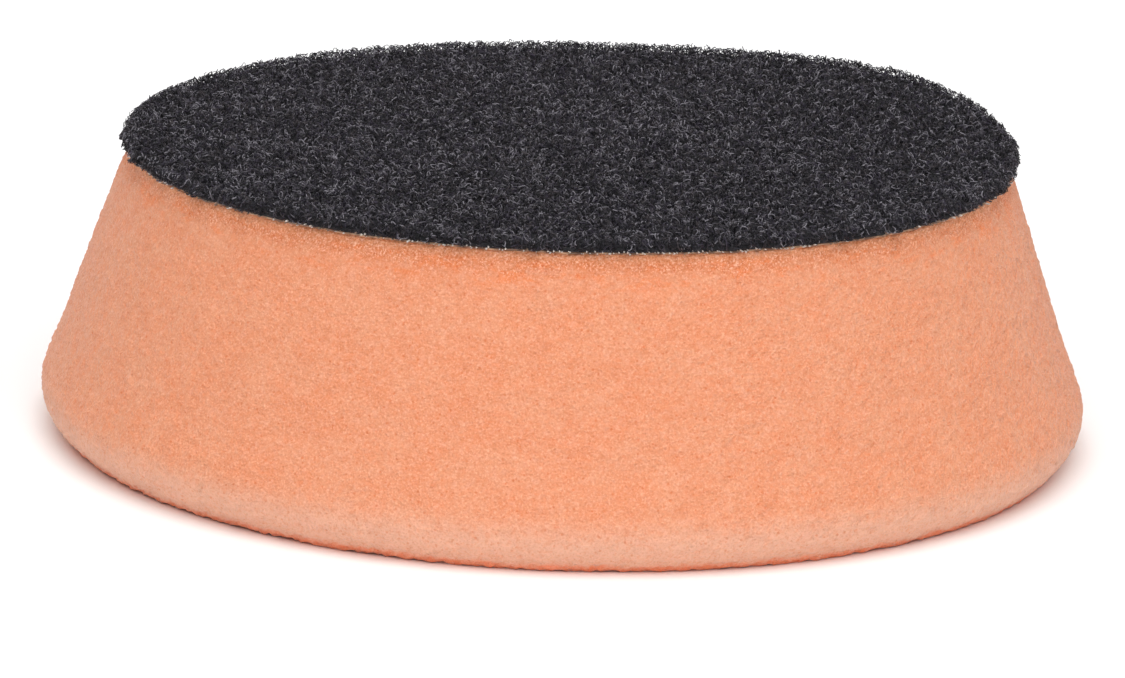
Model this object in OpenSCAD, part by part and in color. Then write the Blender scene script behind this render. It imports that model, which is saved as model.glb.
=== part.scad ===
// Foam polishing pad with a hook-and-loop face, standing on its working face.
// The foam is a cone that widens towards the working face and ends in a short bevel.
// Z = 0 is the working face, and +Z points through the pad to the loop face.

/* [Foam body] */
// Height of the foam body
foam_h = 24.6; // [18:0.2:34]
// Diameter of the foam under the fabric
foam_top_d = 75.4; // [60:0.2:76.6]
// Diameter where the cone and the bevel would meet if their edge was sharp
edge_d = 91; // [90:0.5:100]
// Height of that edge above the working face
edge_h = 2.7; // [2.4:0.1:5]
// Diameter of the working face before its rim is rounded
face_d = 86.2; // [82:0.2:87]
// Radius that rounds the edge
edge_r = 3.4; // [1:0.2:3.6]
// Radius that rounds the working face's rim
rim_r = 0.8; // [0.2:0.1:1]

/* [Adhesive film] */
// Thickness of the adhesive between the foam and the fabric
film_t = 0.2; // [0.1:0.05:0.5]
// How far the squeezed-out adhesive stands past the foam
film_squeeze = 0.4; // [0:0.1:0.8]

/* [Loop fabric] */
// Diameter of the fabric disc
loop_d = 77; // [77:0.5:82]
// Thickness of the knitted ground cloth
cloth_t = 0.4; // [0.3:0.1:1.2]
// Height of the brushed loops
pile_h = 0.9; // [0.7:0.1:2.5]
// Radius of the worn, rounded rim of the loops
pile_rim_r = 0.5; // [0.2:0.1:0.7]
// How far the cut edge of the ground cloth stays inside the loops
cloth_inset = 0.3; // [0.1:0.1:0.6]

/* [Hidden] */

$fn = 180;
edge_arc_steps = 10;
rim_arc_steps = 5;

film_z = foam_h;
cloth_z = film_z + film_t;
pile_z = cloth_z + cloth_t;

// Corner points of the foam's half section, [radius, height]
face_rim = [face_d / 2, 0];
widest = [edge_d / 2, edge_h];
foam_top_rim = [foam_top_d / 2, foam_h];

function unit(v) = v / norm(v);

// Arc of radius r that rounds the corner b between the points a and c
function rounded(a, b, c, r, steps) =
    let (
        to_a = unit(a - b),
        to_c = unit(c - b),
        half = acos(to_a * to_c) / 2,
        centre = b + unit(to_a + to_c) * r / sin(half),
        first = b + to_a * r / tan(half) - centre,
        last = b + to_c * r / tan(half) - centre,
        sweep = 180 - 2 * half
    )
    [for (i = [0 : steps])
        centre + (first * sin(sweep * (1 - i / steps)) + last * sin(sweep * i / steps)) / sin(sweep)];

module foam_pad() {
    section = concat(
        [[0, 0]],
        rounded([0, 0], face_rim, widest, rim_r, rim_arc_steps),
        rounded(face_rim, widest, foam_top_rim, edge_r, edge_arc_steps),
        [foam_top_rim, [0, foam_h]]
    );
    color("sandybrown")
        rotate_extrude() polygon(section);
}

module adhesive_film() {
    color("bisque")
        translate([0, 0, film_z])
            cylinder(h = film_t, d = foam_top_d + 2 * film_squeeze);
}

module loop_cloth() {
    color("dimgray")
        translate([0, 0, cloth_z])
            cylinder(h = cloth_t, d = loop_d - 2 * cloth_inset);
}

module loop_pile() {
    rim = [loop_d / 2, pile_h];
    section = concat(
        [[0, 0], [rim[0], 0]],
        rounded([rim[0], 0], rim, [0, pile_h], pile_rim_r, rim_arc_steps),
        [[0, pile_h]]
    );
    color("darkslategray")
        translate([0, 0, pile_z])
            rotate_extrude() polygon(section);
}

foam_pad();
adhesive_film();
loop_cloth();
loop_pile();
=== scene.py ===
import math

import bpy
import numpy as np
from mathutils import Matrix, Vector


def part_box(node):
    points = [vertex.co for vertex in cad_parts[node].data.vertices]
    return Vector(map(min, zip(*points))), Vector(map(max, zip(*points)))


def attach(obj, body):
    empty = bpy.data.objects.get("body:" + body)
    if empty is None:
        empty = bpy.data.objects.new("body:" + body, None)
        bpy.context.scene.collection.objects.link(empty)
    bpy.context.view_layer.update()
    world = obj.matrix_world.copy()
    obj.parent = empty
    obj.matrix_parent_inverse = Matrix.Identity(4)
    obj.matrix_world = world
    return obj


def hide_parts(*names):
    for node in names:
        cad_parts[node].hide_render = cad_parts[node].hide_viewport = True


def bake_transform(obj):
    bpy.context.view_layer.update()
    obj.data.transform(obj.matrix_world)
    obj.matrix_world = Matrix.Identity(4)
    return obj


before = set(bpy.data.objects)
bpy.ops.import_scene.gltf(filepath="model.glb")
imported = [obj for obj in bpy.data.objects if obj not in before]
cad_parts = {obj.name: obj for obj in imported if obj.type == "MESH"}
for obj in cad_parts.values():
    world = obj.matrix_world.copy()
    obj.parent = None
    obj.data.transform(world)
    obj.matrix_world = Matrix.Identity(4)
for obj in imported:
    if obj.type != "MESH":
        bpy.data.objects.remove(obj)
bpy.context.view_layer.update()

# Everything is in metres, in the part's own frame: Z = 0 is the working face, +Z the loop face.
MM = 0.001
SEED = 20

foam_low, foam_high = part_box("foam_pad")
film_low, film_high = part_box("adhesive_film")
cloth_low, cloth_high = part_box("loop_cloth")
pile_low, pile_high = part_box("loop_pile")
FOAM_TOP = foam_high.z
FILM_R = film_high.x
CLOTH_R = cloth_high.x
PILE_R = pile_high.x
PILE_H = pile_high.z - pile_low.z


# ---------------------------------------------------------------- numbers that repeat exactly

def lattice(places, seed):
    """A number from 0 to 1 for each whole-numbered place in 3D, the same on every run. The large
    numbers only stir the bits."""
    i = places.astype(np.int64)
    h = i[..., 0] * 73856093 ^ i[..., 1] * 19349663 ^ i[..., 2] * 83492791 ^ seed * 2654435761
    h = (h ^ (h >> 13)) * 1274126177 & 0xFFFFFFFF
    h = (h ^ (h >> 16)) * 2246822519 & 0xFFFFFFFF
    return (h ^ (h >> 15)) % 65536 / 65535.0


def clouds(points, size, seed):
    """Smooth noise from -1 to 1 whose lumps are about size across."""
    p = points / size
    base = np.floor(p)
    t = p - base
    t = t * t * (3 - 2 * t)
    total = np.zeros(len(p))
    for corner in np.ndindex(2, 2, 2):
        share = np.prod(np.where(corner, t, 1 - t), axis=1)
        total += share * lattice(base + corner, seed)
    return 2 * total - 1


def cells(points, size, seed):
    """Distance to the nearest of many scattered cell centres, from 0 to about 1 between them."""
    p = points / size
    base = np.floor(p)
    nearest = np.full(len(p), 9.0)
    for step in np.ndindex(3, 3, 3):
        cell = base + step - 1
        centre = cell + np.stack([lattice(cell, seed + k) for k in (1, 2, 3)], axis=1)
        nearest = np.minimum(nearest, ((p - centre) ** 2).sum(1))
    return np.minimum(np.sqrt(nearest), 1)


# ---------------------------------------------------------------- mesh helpers

def new_piece(name, points, faces, material, body=None):
    """A smooth-shaded mesh piece in the part's frame."""
    mesh = bpy.data.meshes.new(name)
    mesh.from_pydata(np.asarray(points).tolist(), [], faces)
    mesh.shade_smooth()
    mesh.materials.append(material)
    piece = bpy.data.objects.new(name, mesh)
    bpy.context.scene.collection.objects.link(piece)
    if body:
        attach(piece, body)
    return piece


def round_turn(count):
    """count angles, evenly spaced over one turn."""
    return np.arange(count) * 2 * math.pi / count


def directions(turn):
    """Level unit vectors at these angles about Z."""
    return np.stack([np.cos(turn), np.sin(turn), 0 * turn], axis=1)


def ring_faces(rings, around):
    """Quads between neighbouring rings of points, each ring closed on itself."""
    ring, step = np.meshgrid(np.arange(rings - 1), np.arange(around), indexing="ij")
    after = (step + 1) % around
    quads = np.stack([ring * around + step, ring * around + after,
                      (ring + 1) * around + after, (ring + 1) * around + step], axis=-1)
    return quads.reshape(-1, 4)


# ---------------------------------------------------------------- material helpers

def rgb(red, green, blue):
    return (red, green, blue, 1.0)


WHITE = rgb(1, 1, 1)


class Nodes:
    """Short calls for wiring a material's nodes."""

    def __init__(self, name):
        self.material = bpy.data.materials.new(name)
        self.material.use_nodes = True
        self.tree = self.material.node_tree
        self.shader = self.tree.nodes["Principled BSDF"]

    def put(self, socket, value):
        """Links a socket to a value, or writes a plain number or colour on it."""
        if isinstance(value, bpy.types.NodeSocket):
            self.tree.links.new(value, socket)
        else:
            socket.default_value = value

    def add(self, kind, **inputs):
        node = self.tree.nodes.new("ShaderNode" + kind)
        for key, value in inputs.items():
            self.put(node.inputs[key.replace("_", " ")], value)
        return node

    def set(self, **inputs):
        for key, value in inputs.items():
            self.put(self.shader.inputs[key.replace("_", " ")], value)

    def place(self):
        return self.add("TexCoord").outputs["Object"]

    def read(self, attribute):
        node = self.add("Attribute")
        node.attribute_name = attribute
        return node.outputs["Fac"]

    def noise(self, place, size, **settings):
        """Noise whose lumps are about size across."""
        return self.add("TexNoise", Vector=place, Scale=1 / size, **settings).outputs["Fac"]

    def spots(self, place, size):
        """Scattered cells about size across: the distance to each cell's centre, and its own colour."""
        node = self.add("TexVoronoi", Vector=place, Scale=1 / size)
        return node.outputs["Distance"], node.outputs["Color"]

    def math(self, operation, a, b):
        node = self.tree.nodes.new("ShaderNodeMath")
        node.operation = operation
        self.put(node.inputs[0], a)
        self.put(node.inputs[1], b)
        return node.outputs[0]

    def mix(self, factor, a, b, blend="MIX"):
        node = self.tree.nodes.new("ShaderNodeMix")
        node.data_type = "RGBA"
        node.blend_type = blend
        self.put(node.inputs["Factor"], factor)
        self.put(node.inputs[6], a)
        self.put(node.inputs[7], b)
        return node.outputs[2]

    def span(self, value, low, high, to_low=0.0, to_high=1.0):
        """Eases value from to_low, at low, to to_high, at high."""
        node = self.tree.nodes.new("ShaderNodeMapRange")
        node.interpolation_type = "SMOOTHSTEP"
        for key, number in zip(("Value", "From Min", "From Max", "To Min", "To Max"),
                               (value, low, high, to_low, to_high)):
            self.put(node.inputs[key], number)
        return node.outputs["Result"]

    def bump(self, height, distance, strength=1.0, under=None):
        node = self.add("Bump", Height=height, Distance=distance, Strength=strength)
        if under is not None:
            self.put(node.inputs["Normal"], under)
        return node.outputs["Normal"]


# ---------------------------------------------------------------- how the glued fabric lies

# Where round the rim the fabric and the foam under it stand high or low: azimuth and width in
# degrees, height in metres. Azimuth 0 is +X and 90 is +Y.
WAVES = [(38, 31, 1.55 * MM), (95, 45, 0.2 * MM), (200, 30, -0.1 * MM), (272, 38, 0.15 * MM)]


def rim_lift(points):
    """How far the fabric is lifted at these points: nothing in the middle, all of it at the rim."""
    azimuth = np.degrees(np.arctan2(points[:, 1], points[:, 0]))
    share = np.minimum(np.hypot(points[:, 0], points[:, 1]) / PILE_R, 1.1) ** 3
    lift = np.zeros(len(points))
    for middle, width, height in WAVES:
        away = (azimuth - middle + 180) % 360 - 180
        lift += height * np.exp(-(away / width) ** 2)
    return share * lift


# ---------------------------------------------------------------- the foam's shape

FOAM_DISC = 170               # squares along each side of the working face's grid
FOAM_AROUND = 4 * FOAM_DISC   # points round the foam, so that the grid's rim meets them
FOAM_RINGS = 100

CELL = 0.55 * MM              # the foam's larger cells, as the mesh carries them
CELL_DEPTH = 0.10 * MM
GRAIN = 0.05 * MM             # the grain differs between points further apart than this
GRAIN_DEPTH = 0.11 * MM
LUMP = 2.2 * MM               # the cut is uneven in small lumps and in broad ones
LUMP_DEPTH = 0.05 * MM
SWELL = 16 * MM
SWELL_DEPTH = 0.12 * MM
BULGE_HEIGHT = 5.2 * MM       # a slight bulge runs round the foam above the bevel
BULGE_WIDTH = 2.5 * MM
BULGE_DEPTH = 0.2 * MM
CREASE_BELOW = 1.3 * MM       # the foam is pinched in here and there about this far under the fabric
CREASE_WANDER = 0.5 * MM
CREASE_WIDTH = 0.5 * MM
CREASE_DEPTH = 0.17 * MM
CREASE_PATCH = 7 * MM         # size of the patches in which it is deep or missing


def foam_outline():
    """The CAD foam's outer half section, as (radius, height) from the working face's rim to the top."""
    corners = {(round(math.hypot(v.co.x, v.co.y), 5), round(v.co.z, 5))
               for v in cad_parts["foam_pad"].data.vertices}
    outer = {}
    for radius, height in corners:
        outer[height] = max(radius, outer.get(height, 0))
    return np.array([[outer[z], z] for z in sorted(outer)])


def along(outline, count):
    """count points evenly spaced along an outline."""
    length = np.concatenate([[0], np.cumsum(np.hypot(*np.diff(outline, axis=0).T))])
    at = np.linspace(0, length[-1], count)
    return np.stack([np.interp(at, length, outline[:, k]) for k in (0, 1)], axis=1)


def lathe(outline, around):
    """Rings of points round Z, one for each point of an outline, and the outward direction at each."""
    turn = round_turn(around)
    shape = (len(outline), around)
    radius, height = outline[:, 0, None], outline[:, 1, None]
    points = np.stack([radius * np.cos(turn), radius * np.sin(turn),
                       np.broadcast_to(height, shape)], axis=-1)
    slope = np.gradient(outline, axis=0)
    slope /= np.linalg.norm(slope, axis=1, keepdims=True)
    out = np.stack([slope[:, 1, None] * np.cos(turn), slope[:, 1, None] * np.sin(turn),
                    np.broadcast_to(-slope[:, 0, None], shape)], axis=-1)
    return points.reshape(-1, 3), out.reshape(-1, 3)


def disc_grid(side):
    """A square grid of points drawn out into the unit disc, in rows, and the quads between them."""
    a, b = np.meshgrid(np.linspace(-1, 1, side + 1), np.linspace(-1, 1, side + 1))
    a, b = a.ravel(), b.ravel()
    wide = np.abs(a) > np.abs(b)
    radius = np.where(wide, a, b)
    with np.errstate(divide="ignore", invalid="ignore"):
        turn = np.where(wide, b / a, np.where(b == 0, 0, a / b)) * math.pi / 4
    turn = np.where(wide, turn, math.pi / 2 - turn)
    points = np.stack([radius * np.cos(turn), radius * np.sin(turn)], axis=1)
    row, column = np.meshgrid(np.arange(side), np.arange(side), indexing="ij")
    first = row * (side + 1) + column
    quads = np.stack([first, first + side + 1, first + side + 2, first + 1], axis=-1)
    return points, quads.reshape(-1, 4)


def foam_mesh():
    """Points, faces and outward directions of a closed lathe with a gridded working face."""
    outline = along(foam_outline(), FOAM_RINGS)
    side, out = lathe(outline, FOAM_AROUND)

    # The grid's inner points are added to the lathe's, and its rim is the lathe's first ring.
    flat, disc_quads = disc_grid(FOAM_DISC)
    disc = np.column_stack([flat * outline[0, 0], np.full(len(flat), outline[0, 1])])
    inside = np.hypot(*flat.T) < 1 - 1e-6
    number = np.full(len(flat), -1)
    number[inside] = len(side) + np.arange(inside.sum())
    rim = np.round(np.arctan2(flat[:, 1], flat[:, 0]) / (2 * math.pi) * FOAM_AROUND).astype(int)
    number[~inside] = rim[~inside] % FOAM_AROUND

    # The top is hidden by the film, so it is a fan of triangles round its middle point.
    points = np.concatenate([side, disc[inside], [[0, 0, FOAM_TOP]]])
    down = np.tile([0.0, 0.0, -1.0], (inside.sum(), 1))
    out = np.concatenate([out, down, [[0, 0, 1.0]]])
    last_ring = (FOAM_RINGS - 1) * FOAM_AROUND
    top = [[last_ring + i, last_ring + (i + 1) % FOAM_AROUND, len(points) - 1]
           for i in range(FOAM_AROUND)]
    faces = ring_faces(FOAM_RINGS, FOAM_AROUND).tolist() + number[disc_quads].tolist() + top
    return points, faces, out


def foam_relief(points, pits, face):
    """How far the cut foam stands out at each point. face marks the points of the working face."""
    height = points[:, 2]
    grain = lattice(np.round(points / GRAIN), SEED + 9) * 2 - 1
    rough = CELL_DEPTH * (pits - 0.5) + GRAIN_DEPTH * grain
    rough[face] *= 2
    uneven = (LUMP_DEPTH * clouds(points, LUMP, SEED + 20)
              + SWELL_DEPTH * clouds(points, SWELL, SEED + 30))
    bulge = BULGE_DEPTH * np.exp(-((height - BULGE_HEIGHT) / BULGE_WIDTH) ** 2)
    from_crease = FOAM_TOP - height - CREASE_BELOW - CREASE_WANDER * clouds(points, 5 * MM, SEED + 60)
    crease = -CREASE_DEPTH * np.exp(-(from_crease / CREASE_WIDTH) ** 2)
    crease *= 0.5 + 0.5 * clouds(points, CREASE_PATCH, SEED + 40)
    crease[height < FOAM_TOP / 2] = 0
    return rough + uneven + bulge + crease


def foam_piece():
    points, faces, out = foam_mesh()
    height = points[:, 2].copy()
    far = np.hypot(points[:, 0], points[:, 1])
    face = height < 0.001 * MM
    # The colour depends on the distance from the working face's rim, up the side and across the face.
    from_rim = np.where(face, np.minimum(far[face].max() - far, FOAM_TOP / 2), height)
    pits = cells(points, CELL, SEED)
    points += out * foam_relief(points, pits, face)[:, None]
    points[:, 2] += rim_lift(points) * np.clip(height / FOAM_TOP, 0, 1) ** 4
    points[:, 2] = np.maximum(points[:, 2], 0)
    foam = new_piece("foam_body", points, faces, foam_material())
    for name, values in (("from_rim", from_rim), ("pit", 1 - pits)):
        attribute = foam.data.attributes.new(name, "FLOAT", "POINT")
        attribute.data.foreach_set("value", values.astype(np.float32))
    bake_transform(foam)
    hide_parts("foam_pad")


# ---------------------------------------------------------------- the foam's colour

# From the fabric down to the working face's rim
LIP_TAN = rgb(0.90, 0.46, 0.26)
SOAKED_AND_SHADED_BROWN = rgb(0.76, 0.255, 0.11)
SMEAR_ORANGE = rgb(0.86, 0.25, 0.085)
PEACH_RED = rgb(0.795, 0.314, 0.168)
PEACH_YELLOW = rgb(0.795, 0.342, 0.194)
BEVEL_PAINTED_BOUNCE = rgb(0.87, 0.51, 0.37)
RIM_RED_PAINTED_LIGHT = rgb(0.98, 0.26, 0.11)
# The small marks of the cut cells. The shades are multiplied with what is under them. The darker shades
# in the cells' hollows, the open pores and the mesh's pits are painted shade.
MOTTLE_PALE = rgb(0.87, 0.46, 0.34)
MOTTLE_DARK = rgb(0.79, 0.26, 0.115)
WALL_SHADE = rgb(0.83, 0.69, 0.59)
PORE_SHADE = rgb(0.92, 0.72, 0.60)
WALL_PALE = rgb(0.95, 0.51, 0.35)
PIT_PAINTED_SHADE = rgb(0.74, 0.24, 0.10)

# Distances from the working face's rim between which each zone fades in, from nothing to full
BEVEL_BOUNCE_BAND = (5.5 * MM, 2.2 * MM)
RIM_BAND = (1.35 * MM, 0.65 * MM)
SOAKED_AND_SHADED_BAND = (FOAM_TOP - 0.9 * MM, FOAM_TOP + 1.1 * MM)
SMEAR_BAND = (FOAM_TOP - 3.2 * MM, FOAM_TOP - 2.0 * MM)
SMEAR_END = (FOAM_TOP - 0.4 * MM, FOAM_TOP - 1.0 * MM)
LIP_BAND = (FOAM_TOP - 1.0 * MM, FOAM_TOP - 0.1 * MM)
RIM_WANDER = 0.8 * MM         # how far the noise moves the edge of the rim's painted-light red down
SOAK_AND_SHADE_WANDER = 2.6 * MM        # and how far it moves down the edge of the zone under the fabric, soaked with adhesive and painted with shade

# Sizes of the foam's patches, from the broad ones to the walls between its smallest cells
BROAD = 3 * MM
SMEAR = 2.6 * MM
STREAK = 1.6 * MM
PORE = 0.5 * MM
MOTTLE = 0.42 * MM
FINE_CELL = 0.24 * MM
WALL = 0.17 * MM


def foam_zones(n, place, from_rim):
    """The foam's colour without its cells, and how far the zone under the fabric reaches, which is
    soaked with adhesive and painted with the shade of the fabric's overhang.
    """
    broad = n.noise(place, BROAD, Detail=3.0)
    colour = n.mix(n.span(broad, 0.35, 0.65), PEACH_RED, PEACH_YELLOW)
    # Painted light: the bevel is paler, standing in for the light bounced up onto it from the floor.
    bounce_light = n.math("MULTIPLY", n.span(from_rim, *BEVEL_BOUNCE_BAND), 0.85)
    colour = n.mix(bounce_light, colour, BEVEL_PAINTED_BOUNCE)
    # Painted light: the working face's rim is a brighter, redder band, which keeps it bright in the
    # contact shade beside the floor.
    rim = n.math("ADD", from_rim, n.math("MULTIPLY", broad, RIM_WANDER))
    colour = n.mix(n.span(rim, *RIM_BAND, 0.0, 0.9), colour, RIM_RED_PAINTED_LIGHT)

    # Streaks and smears of adhesive are stretched level, because height counts more in their noise.
    level = n.add("Mapping", Vector=place, Scale=(1.0, 1.0, 2.5)).outputs["Vector"]
    streaks = n.noise(level, STREAK, Detail=4.0, Roughness=0.6)
    soaked_and_shaded = n.span(n.math("ADD", from_rim, n.math("MULTIPLY", streaks, SOAK_AND_SHADE_WANDER)), *SOAKED_AND_SHADED_BAND)
    # Painted shade: the brown band under the fabric is partly adhesive soaked into the foam and partly
    # painted shade, where the fabric's overhang shadows the foam.
    colour = n.mix(n.math("MULTIPLY", soaked_and_shaded, 0.9), colour, SOAKED_AND_SHADED_BROWN)
    smears = n.noise(level, SMEAR, Detail=3.0, Roughness=0.6)
    smear_band = n.math("MULTIPLY", n.span(from_rim, *SMEAR_BAND), n.span(from_rim, *SMEAR_END))
    colour = n.mix(n.math("MULTIPLY", n.span(smears, 0.50, 0.64, 0.0, 0.6), smear_band),
                   colour, SMEAR_ORANGE)
    return n.mix(n.span(from_rim, *LIP_BAND, 0.0, 0.5), colour, LIP_TAN), soaked_and_shaded


def foam_material():
    n = Nodes("peach_foam")
    place = n.place()
    pores, pore_colour = n.spots(place, PORE)
    fine, _ = n.spots(place, FINE_CELL)
    walls = n.noise(place, WALL, Detail=2.0, Roughness=0.7)
    mottle = n.noise(place, MOTTLE, Detail=1.0)
    colour, soaked_and_shaded = foam_zones(n, place, n.read("from_rim"))

    colour = n.mix(n.span(mottle, 0.50, 0.68, 0.0, 0.22), colour, MOTTLE_PALE)
    colour = n.mix(n.span(mottle, 0.50, 0.32, 0.0, 0.26), colour, MOTTLE_DARK)
    contrast = n.math("ADD", 1.0, n.math("MULTIPLY", soaked_and_shaded, 2.0))
    # Painted shade: darker where the bumps of the fine cells and of the walls sink in.
    hollow_shade = n.math("MAXIMUM", n.span(fine, 0.05, 0.55, 0.4, 0.0), n.span(walls, 0.46, 0.30, 0.0, 0.6))
    shade = n.mix(n.math("MULTIPLY", hollow_shade, contrast), WHITE, WALL_SHADE)
    colour = n.mix(1.0, colour, shade, "MULTIPLY")
    # Only the cells with a bright colour of their own are open pores, which are darkened with painted
    # shade.
    deep = n.math("MULTIPLY", n.span(pores, 0.12, 0.32, 0.9, 0.0), n.span(pore_colour, 0.35, 0.6))
    colour = n.mix(1.0, colour, n.mix(deep, WHITE, PORE_SHADE), "MULTIPLY")
    pale = n.math("MULTIPLY", n.span(walls, 0.53, 0.66, 0.0, 0.5), contrast)
    colour = n.mix(pale, colour, WALL_PALE)
    # Painted shade in the pits that the mesh carries.
    colour = n.mix(n.span(n.read("pit"), 0.55, 1.0, 0.0, 0.25), colour, PIT_PAINTED_SHADE)

    skin = n.bump(fine, 0.11 * MM, 0.7)
    skin = n.bump(walls, 0.085 * MM, 0.8, under=skin)
    n.set(Base_Color=colour, Normal=skin)
    n.set(Roughness=0.92, Diffuse_Roughness=0.15, Specular_IOR_Level=0.12)
    n.set(Sheen_Weight=0.2, Sheen_Roughness=0.35, Sheen_Tint=rgb(0.9, 0.95, 1.0))
    n.set(Subsurface_Weight=0.08, Subsurface_Radius=(1.0, 0.4, 0.2), Subsurface_Scale=0.25 * MM)
    return n.material


# ---------------------------------------------------------------- adhesive and ground cloth

def disc_between(name, radius, low, high, material, ragged, around=720, rings=24):
    """A closed disc of cloth or film that follows the fabric's waves, with an uneven cut edge."""
    circle = directions(round_turn(around))
    edge = radius - ragged * (0.5 + 0.5 * clouds(circle * radius, 1.5 * MM, SEED + 50))
    shares = np.linspace(0.03, 1, rings) ** 0.8   # the rings lie closer together near the edge
    lower = [circle * (edge * share)[:, None] + [0, 0, low] for share in shares]
    upper = [circle * (edge * share)[:, None] + [0, 0, high] for share in shares[::-1]]
    middle = circle * (edge + 0.1 * (high - low))[:, None] + [0, 0, (low + high) / 2]
    points = np.concatenate([*lower, middle, *upper])
    points[:, 2] += rim_lift(points)
    count = 2 * rings + 1
    faces = ring_faces(count, around).tolist()
    faces.append(list(range(around))[::-1])
    faces.append(list(range((count - 1) * around, count * around)))
    return new_piece(name, points, faces, material, "backing")


def adhesive_shadow_material():
    n = Nodes("adhesive_painted_shadow")
    mottle = n.noise(n.place(), 0.8 * MM, Detail=3.0)
    # The film's dark brown is partly the adhesive's own colour and partly painted shadow, standing in
    # for the shadow line between the fabric and the foam.
    colour = n.mix(n.span(mottle, 0.35, 0.7), rgb(0.14, 0.07, 0.04), rgb(0.55, 0.33, 0.20))
    n.set(Base_Color=colour, Roughness=0.45, Subsurface_Weight=0.3, Subsurface_Scale=0.3 * MM)
    n.set(Normal=n.bump(mottle, 0.1 * MM, 0.5))
    return n.material


def adhesive_piece():
    film = disc_between("adhesive_layer", FILM_R, film_low.z, film_high.z, adhesive_shadow_material(),
                        ragged=0.45 * MM)
    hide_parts("adhesive_film")


def knit_waves(n, place, size, direction):
    """Level stripes across the cloth, bent a little, for its rows of stitches."""
    node = n.add("TexWave", Vector=place, Scale=1 / size, Distortion=1.2, Detail_Scale=3.0)
    node.bands_direction = direction
    return node.outputs["Fac"]


def knit_material():
    n = Nodes("black_ground_knit")
    place = n.place()
    knit = n.math("MULTIPLY", knit_waves(n, place, 2.9 * MM, "X"), knit_waves(n, place, 2.5 * MM, "Y"))
    colour = n.mix(knit, rgb(0.006, 0.006, 0.008), rgb(0.028, 0.027, 0.032))
    n.set(Base_Color=colour, Roughness=0.85, Normal=n.bump(knit, 0.12 * MM, 0.8))
    return n.material


def cloth_piece():
    cloth = disc_between("ground_cloth", CLOTH_R, cloth_low.z, cloth_high.z, knit_material(),
                         ragged=0.3 * MM)
    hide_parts("loop_cloth")
    return cloth


# ---------------------------------------------------------------- the pile's fibres

# The shades of the pile's nylon, from dark to light. Away from the rim they have equal shares.
SHADES = {
    "black": rgb(0.0050, 0.0043, 0.0056),
    "soot": rgb(0.010, 0.0085, 0.011),
    "charcoal": rgb(0.019, 0.0155, 0.019),
    "slate": rgb(0.027, 0.025, 0.034),
    "violet": rgb(0.045, 0.037, 0.056),
    "umber": rgb(0.060, 0.050, 0.055),
    "grey": rgb(0.11, 0.10, 0.12),
    "pale": rgb(0.25, 0.235, 0.265),
}
FIBRE_R = 0.042 * MM
FIBRE_SWELL = (0.7, 1.25)     # share of FIBRE_R, from the thinnest fibre to the thickest
FIBRE_POINTS = 6
LOOP_SPACING = 0.62 * MM
LOOP_HEIGHTS = (0.5, 1.05)    # share of the pile's height
LOOP_SPANS = (0.15, 0.65)     # distance between a loop's feet, in millimetres
CURL_SPACING = 0.39 * MM
CURL_TILTS = (15, 85)         # degrees that an arc's circle leans from level
CURL_SWEEPS = (110, 290)      # degrees of its circle that an arc covers
CURL_SIZES = (0.11, 0.32)     # smallest and largest radius of an arc, in millimetres
FRINGE_SIZES = (0.14, 0.36)
FRINGE_SPACING = 0.16 * MM
FRINGE_ROWS = 3
EDGE_SPLAY = 0.9 * MM         # the fibres lean outwards over this last width of the fabric
EDGE_DROP = 0.3 * MM
EDGE_REACH = 0.45 * MM        # no fibre reaches further past the pile's radius
RIM_PAINTED_SHADE_SHARE = 0.5              # share of the fringe that takes a darker shade, as painted shade along the cut edge


def tubes(paths, radius, across):
    """Points and faces of closed three-sided tubes. paths is (tube, point, xyz), radius one value a
    point, and across a direction out of each path's plane."""
    count, length, _ = paths.shape
    forward = np.gradient(paths, axis=1)
    forward /= np.linalg.norm(forward, axis=2, keepdims=True)
    side = across[:, None] - (across[:, None] * forward).sum(2, keepdims=True) * forward
    side /= np.linalg.norm(side, axis=2, keepdims=True)
    up = np.cross(forward, side)
    corners = [paths + radius[..., None] * (math.cos(a) * side + math.sin(a) * up)
               for a in (0, 2 * math.pi / 3, 4 * math.pi / 3)]
    points = np.stack(corners, axis=2).reshape(-1, 3)
    first = (np.arange(count) * length * 3)[:, None, None]
    quads = (first + ring_faces(length, 3)[None]).reshape(-1, 4)
    ends = np.array([[0, 2, 1], [3 * length - 3, 3 * length - 2, 3 * length - 1]])
    caps = (first + ends[None]).reshape(-1, 3)
    return points, quads.tolist() + caps.tolist()


def scatter(spacing, radius, draw):
    """Points on a jittered grid that covers a disc."""
    steps = int(radius / spacing) + 1
    x, y = np.meshgrid(np.arange(-steps, steps + 1), np.arange(-steps, steps + 1))
    spots = np.stack([x.ravel(), y.ravel()], axis=1) * spacing
    spots = spots + draw.uniform(-0.5, 0.5, spots.shape) * spacing
    return spots[np.hypot(*spots.T) < radius]


def curls(roots, draw, sizes):
    """Arcs that lie tangled in the pile, each on a tilted circle of its own."""
    count = len(roots)
    turn, tilt_turn = draw.uniform(0, 2 * math.pi, (2, count))
    tilt = np.radians(draw.uniform(*CURL_TILTS, count))
    plane = np.stack([np.sin(tilt) * np.cos(tilt_turn), np.sin(tilt) * np.sin(tilt_turn),
                      np.cos(tilt)], axis=1)
    first = np.cross(plane, directions(turn))
    first /= np.linalg.norm(first, axis=1, keepdims=True)
    second = np.cross(plane, first)
    sweep = np.radians(draw.uniform(*CURL_SWEEPS, (count, 1))) * np.linspace(-0.5, 0.5, FIBRE_POINTS)
    size = draw.uniform(*sizes, (count, 1)) * MM * (1 + 0.25 * np.sin(2.3 * sweep))
    centre = np.column_stack([roots, cloth_high.z + PILE_H * draw.uniform(0.25, 0.8, count)])
    paths = (centre[:, None] + (size * np.cos(sweep))[..., None] * first[:, None]
             + (size * np.sin(sweep))[..., None] * second[:, None])
    paths[..., 2] = np.clip(paths[..., 2], cloth_high.z, pile_high.z + 0.1 * MM)
    return paths, plane


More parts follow.
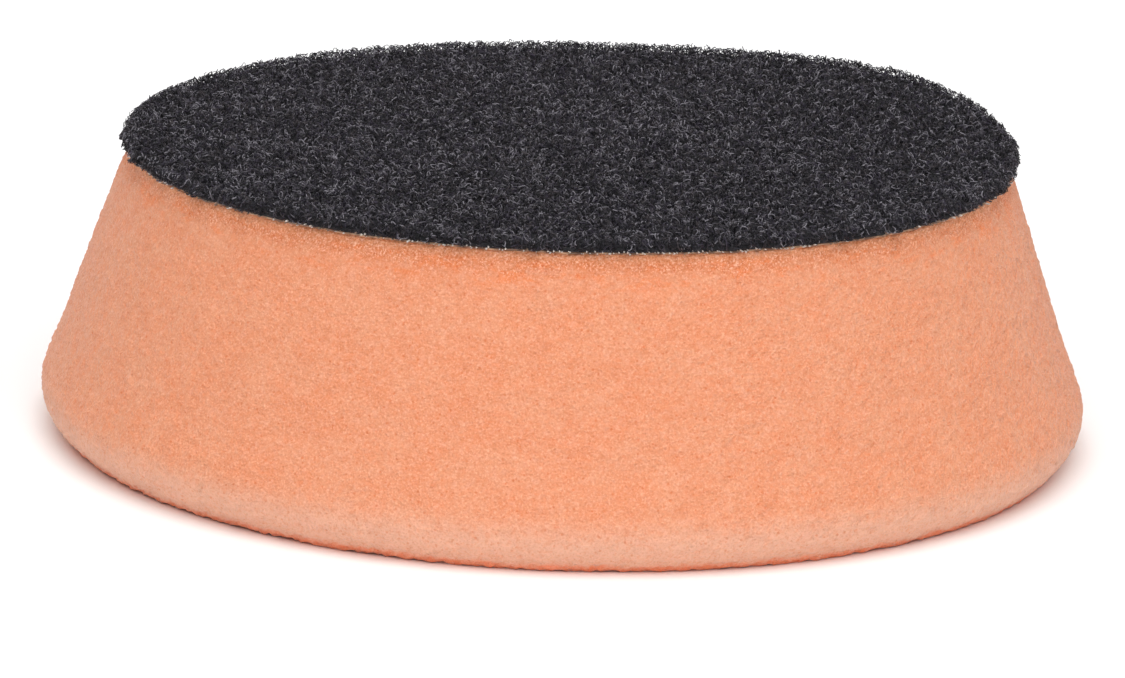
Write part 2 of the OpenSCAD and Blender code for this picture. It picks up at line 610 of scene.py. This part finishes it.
def loops(roots, draw):
    """An arched path from each root, leaning at random."""
    count = len(roots)
    turn, lean_turn = draw.uniform(0, 2 * math.pi, (2, count))
    across = directions(turn)
    lean = directions(lean_turn)[:, :2] * draw.uniform(0, 0.5 * MM, (count, 1))
    high = PILE_H * draw.uniform(*LOOP_HEIGHTS, count)
    high *= 0.88 + 0.17 * clouds(np.column_stack([roots, 0 * turn]), 1.1 * MM, SEED + 70)
    span = draw.uniform(*LOOP_SPANS, count) * MM
    t = np.linspace(0, 1, FIBRE_POINTS)
    arch = np.sin(math.pi * t) ** 0.75
    swing = span[:, None] * -np.cos(math.pi * t) / 2
    curl = draw.uniform(-0.3, 0.3, (count, 1)) * MM * np.sin(2 * math.pi * t)
    paths = np.zeros((count, FIBRE_POINTS, 3))
    paths[..., :2] = (roots[:, None] + across[:, None, :2] * swing[..., None]
                      + lean[:, None] * arch[:, None])
    paths[..., 0] -= across[:, None, 1] * curl
    paths[..., 1] += across[:, None, 0] * curl
    paths[..., 2] = cloth_high.z - 0.05 * MM + high[:, None] * arch
    plane = np.cross(across, np.column_stack([lean, high]))
    return paths, plane / np.linalg.norm(plane, axis=1, keepdims=True)


def fringe(draw):
    """Short arcs along the cut edge, in uneven tufts, which hide the side of the ground cloth."""
    count = int(2 * math.pi * PILE_R / FRINGE_SPACING) * FRINGE_ROWS
    circle = directions(draw.uniform(0, 2 * math.pi, count))
    tuft = np.clip(clouds(circle * PILE_R, 1.4 * MM, SEED + 80), 0, 1)
    far = PILE_R - (draw.uniform(0.25, 0.6, count) - 0.5 * tuft) * MM
    paths, plane = curls(far[:, None] * circle[:, :2], draw, FRINGE_SIZES)
    high = draw.uniform(cloth_low.z + 0.3 * MM, pile_high.z - 0.2 * MM, count)
    paths[..., 2] += (high - paths[..., 2].mean(1))[:, None]
    return paths, plane


def splay(paths):
    """Fibres near the cut edge lean out over it, and none hangs below the ground cloth."""
    far = np.hypot(paths[..., 0], paths[..., 1])
    past = np.clip((far - PILE_R + EDGE_SPLAY) / EDGE_SPLAY, 0, 1.3)
    paths[..., 2] -= EDGE_DROP * past ** 2
    paths[..., 2] = np.maximum(paths[..., 2], cloth_low.z + 0.14 * MM)
    paths[..., :2] *= np.minimum(1, (PILE_R + EDGE_REACH) / np.maximum(far, MM))[..., None]
    return paths


def lift_paths(paths):
    flat = paths.reshape(-1, 3)
    flat[:, 2] += rim_lift(flat)
    return flat.reshape(paths.shape)


def fibre_material(name, colour, roughness, sheen):
    n = Nodes(name)
    n.set(Base_Color=colour, Roughness=roughness, Specular_IOR_Level=0.25)
    n.set(Sheen_Weight=sheen, Sheen_Roughness=0.35, Sheen_Tint=rgb(0.9, 0.85, 1.0))
    return n.material


def pile_pieces():
    """The brushed pile, one piece for each shade of its nylon."""
    draw = np.random.default_rng(SEED)
    kinds = [loops(scatter(LOOP_SPACING, PILE_R - 0.2 * MM, draw), draw),
             curls(scatter(CURL_SPACING, PILE_R - 0.3 * MM, draw), draw, CURL_SIZES),
             fringe(draw)]
    paths = lift_paths(splay(np.concatenate([paths for paths, _ in kinds])))
    plane = np.concatenate([plane for _, plane in kinds])
    shade = draw.integers(0, len(SHADES), len(paths))
    at_rim = np.arange(len(paths)) >= len(paths) - len(kinds[-1][0])
    # Painted shade: part of the fringe takes a darker shade, standing in for the shade on the fibres
    # along the cut edge.
    painted_shade = draw.uniform(0, 1, at_rim.sum()) < RIM_PAINTED_SHADE_SHARE
    shade[at_rim] = np.where(painted_shade, shade[at_rim] // 2, shade[at_rim])
    radius = FIBRE_R * draw.uniform(*FIBRE_SWELL, (len(paths), 1)) * np.ones(FIBRE_POINTS)
    pieces = []
    for k, (name, colour) in enumerate(SHADES.items()):
        chosen = shade == k
        points, faces = tubes(paths[chosen], radius[chosen], plane[chosen])
        material = fibre_material(name + "_nylon", colour, 0.4, 0.05)
        pieces.append(new_piece("loops_" + name, points, faces, material, "backing"))
    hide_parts("loop_pile")
    return pieces


# ---------------------------------------------------------------- cut yarn ends at the rim

END_SPACING = 0.27 * MM
END_POINTS = 5
END_ROOT = 0.1 * MM           # the ends start this far inside the cloth's cut edge
END_COLOURS = {"pale": rgb(0.72, 0.65, 0.60), "tan": rgb(0.28, 0.19, 0.14)}
# Pale ends show mostly near this azimuth, and only a few elsewhere, both in degrees.
PALE_AT = 274
PALE_WIDTH = 26


def end_pieces():
    """The cut ends of the ground yarns, dabbed with adhesive, as a dotted line round the rim."""
    draw = np.random.default_rng(SEED + 1)
    count = int(2 * math.pi * CLOTH_R / END_SPACING)
    turn = (np.arange(count) + draw.uniform(-0.5, 0.5, count)) * 2 * math.pi / count
    out = directions(turn)
    reach = draw.uniform(0.1, 0.3, count) * MM
    height = cloth_low.z + draw.uniform(-0.10, 0.12, count) * MM
    t = np.linspace(0, 1, END_POINTS)
    paths = out[:, None] * (CLOTH_R - END_ROOT + (END_ROOT + reach[:, None]) * t)[..., None]
    paths[..., 2] = height[:, None]
    paths = lift_paths(paths)
    taper = np.sqrt(np.clip(1.02 - t ** 4, 0, 1))
    radius = draw.uniform(0.045, 0.11, (count, 1)) * MM * taper
    sideways = np.stack([-out[:, 1], out[:, 0], out[:, 2]], axis=1)

    # Ends that are neither pale nor tan are covered by the pile, so they aren't made.
    pale_share = 0.12 + 0.75 * np.exp(-((np.degrees(turn) - PALE_AT) / PALE_WIDTH) ** 2)
    pale = draw.uniform(0, 1, count) < pale_share
    tan = ~pale & (draw.uniform(0, 1, count) < 0.35)
    pieces = []
    for (name, colour), chosen in zip(END_COLOURS.items(), (pale, tan)):
        points, faces = tubes(paths[chosen], radius[chosen], sideways[chosen])
        material = fibre_material(name + "_yarn_end", colour, 0.5, 0.1)
        pieces.append(new_piece("cut_ends_" + name, points, faces, material, "backing"))
    return pieces


# ---------------------------------------------------------------- camera, room, lights and floor

# The camera sees the pad as in a product picture: a long lens, 15 degrees above the bench.
CAMERA_AWAY = 0.4703
CAMERA_ELEVATION = math.radians(14.87)
CAMERA_ROLL = math.radians(-1.97)
CAMERA_RIGHT = -0.12 * MM
CAMERA_UP = 7.42 * MM
CAMERA_LENS = 172.4

# Brightness of the pale room: white at the horizon, fading to a dimmer ceiling
HORIZON = 1.0
OVERHEAD = 0.15

FLOOR_HALF = 1.0
FLOOR_Z = -0.02 * MM          # just under the pad, so that the two faces don't coincide


def camera():
    data = bpy.data.cameras.new("camera")
    data.lens = CAMERA_LENS
    data.sensor_width = 36
    data.clip_start = 0.01
    eye = bpy.data.objects.new("camera", data)
    bpy.context.scene.collection.objects.link(eye)
    right = Vector((1, 0, 0))
    up = Vector((0, math.sin(CAMERA_ELEVATION), math.cos(CAMERA_ELEVATION)))
    back = Vector((0, -math.cos(CAMERA_ELEVATION), math.sin(CAMERA_ELEVATION)))
    place = back * CAMERA_AWAY + right * CAMERA_RIGHT + up * CAMERA_UP
    c, s = math.cos(CAMERA_ROLL), math.sin(CAMERA_ROLL)
    axes = Matrix((c * right - s * up, s * right + c * up, back)).transposed()
    eye.matrix_world = Matrix.Translation(place) @ axes.to_4x4()
    bpy.context.scene.camera = eye


def room():
    world = bpy.data.worlds.new("studio")
    bpy.context.scene.world = world
    world.use_nodes = True
    tree = world.node_tree
    background = tree.nodes["Background"]
    background.inputs["Color"].default_value = WHITE
    split = tree.nodes.new("ShaderNodeSeparateXYZ")
    tree.links.new(tree.nodes.new("ShaderNodeTexCoord").outputs["Generated"], split.inputs[0])
    fade = tree.nodes.new("ShaderNodeMapRange")
    for key, number in zip(("From Min", "From Max", "To Min", "To Max"),
                           (0.03, 0.16, HORIZON, OVERHEAD)):
        fade.inputs[key].default_value = number
    tree.links.new(split.outputs["Z"], fade.inputs["Value"])
    tree.links.new(fade.outputs["Result"], background.inputs["Strength"])


def lamp(data, power, direction):
    """A light of this power that shines in a direction."""
    data.energy = power
    piece = bpy.data.objects.new(data.name, data)
    bpy.context.scene.collection.objects.link(piece)
    piece.rotation_euler = direction.to_track_quat("-Z", "Y").to_euler()
    return piece


def softbox(name, place, size, power):
    """A round soft light that faces the pad."""
    data = bpy.data.lights.new(name, "AREA")
    data.shape = "DISK"
    data.size = size
    lamp(data, power, -Vector(place)).location = place


def lights():
    softbox("fill", (0.0, -0.95, 0.2), 0.6, 0.4)
    softbox("top", (0.0, 0.15, 0.9), 0.9, 1.4)
    softbox("back", (-0.3, 0.95, 0.45), 0.6, 1.8)
    key = bpy.data.lights.new("key", "SUN")
    key.angle = math.radians(70)
    lamp(key, 2.85, Vector((-0.05, 0.5, -0.87)))


def floor():
    n = Nodes("pale_floor")
    mottle = n.noise(n.place(), 1 / 3)
    n.set(Base_Color=n.mix(mottle, rgb(0.96, 0.96, 0.96), rgb(0.98, 0.98, 0.98)), Roughness=0.9)
    corners = [(x * FLOOR_HALF, y * FLOOR_HALF, FLOOR_Z)
               for x, y in ((-1, -1), (1, -1), (1, 1), (-1, 1))]
    new_piece("floor", corners, [[0, 1, 2, 3]], n.material)


# ---------------------------------------------------------------- the whole scene

bpy.context.scene.view_settings.view_transform = "Standard"
camera()
room()
lights()
floor()
foam_piece()
adhesive_piece()
ground = cloth_piece()
pile = pile_pieces()
pile + end_pieces()
